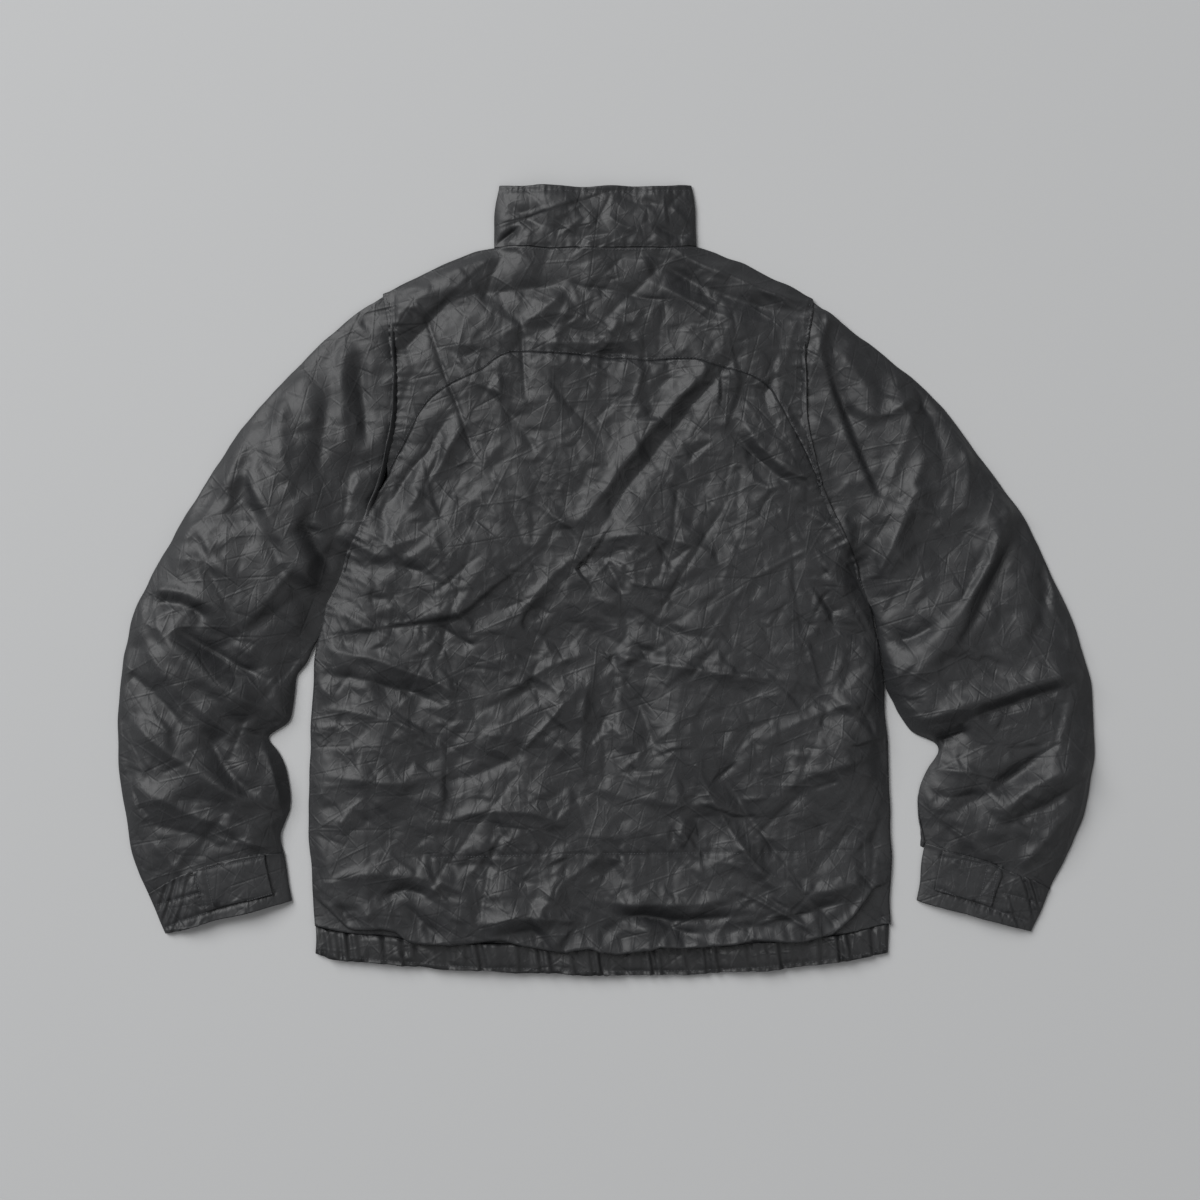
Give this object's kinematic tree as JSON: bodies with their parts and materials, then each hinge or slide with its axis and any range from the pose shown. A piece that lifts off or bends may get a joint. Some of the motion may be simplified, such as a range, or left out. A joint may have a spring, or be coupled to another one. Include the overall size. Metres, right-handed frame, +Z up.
{
  "type": "windbreaker jacket, laid flat",
  "caption": "Lightweight nylon windbreaker with a stand collar, back yoke, gathered hem and cuff tabs, lying flat on its front with both sleeves curved down beside the body.",
  "frame": {"origin": "middle of the footprint, on the surface that the jacket lies on", "axes": "+X across the jacket towards the wearer's right sleeve, +Y from the hem to the collar, +Z up, out of the back panels"},
  "size_m": [0.977, 0.7875, 0.028],
  "materials": {
    "shell_nylon": "crinkled satin nylon, charcoal",
    "zip_tape": "woven tape with a moulded chain, black",
    "zip_metal": "black painted zinc"
  },
  "bodies": {
    "garment": {"back_yoke": "shell_nylon", "back_panel": "shell_nylon", "left_front": "shell_nylon", "right_front": "shell_nylon", "left_sleeve": "shell_nylon", "right_sleeve": "shell_nylon", "left_cuff": "shell_nylon", "right_cuff": "shell_nylon", "left_cuff_tab": "shell_nylon", "right_cuff_tab": "shell_nylon", "hem_band": "shell_nylon", "collar": "shell_nylon", "zip_tape": "zip_tape", "slider": "zip_metal"},
    "zip_pull": {"pull_tab": "zip_metal"}
  },
  "joints": [
    {"name": "pull_hinge", "type": "hinge", "parent": "garment", "child": "zip_pull", "pos_m": [-0.008, 0.312, 0.00375], "axis": [1, 0, 0], "range_deg": [0, 140]}
  ]
}
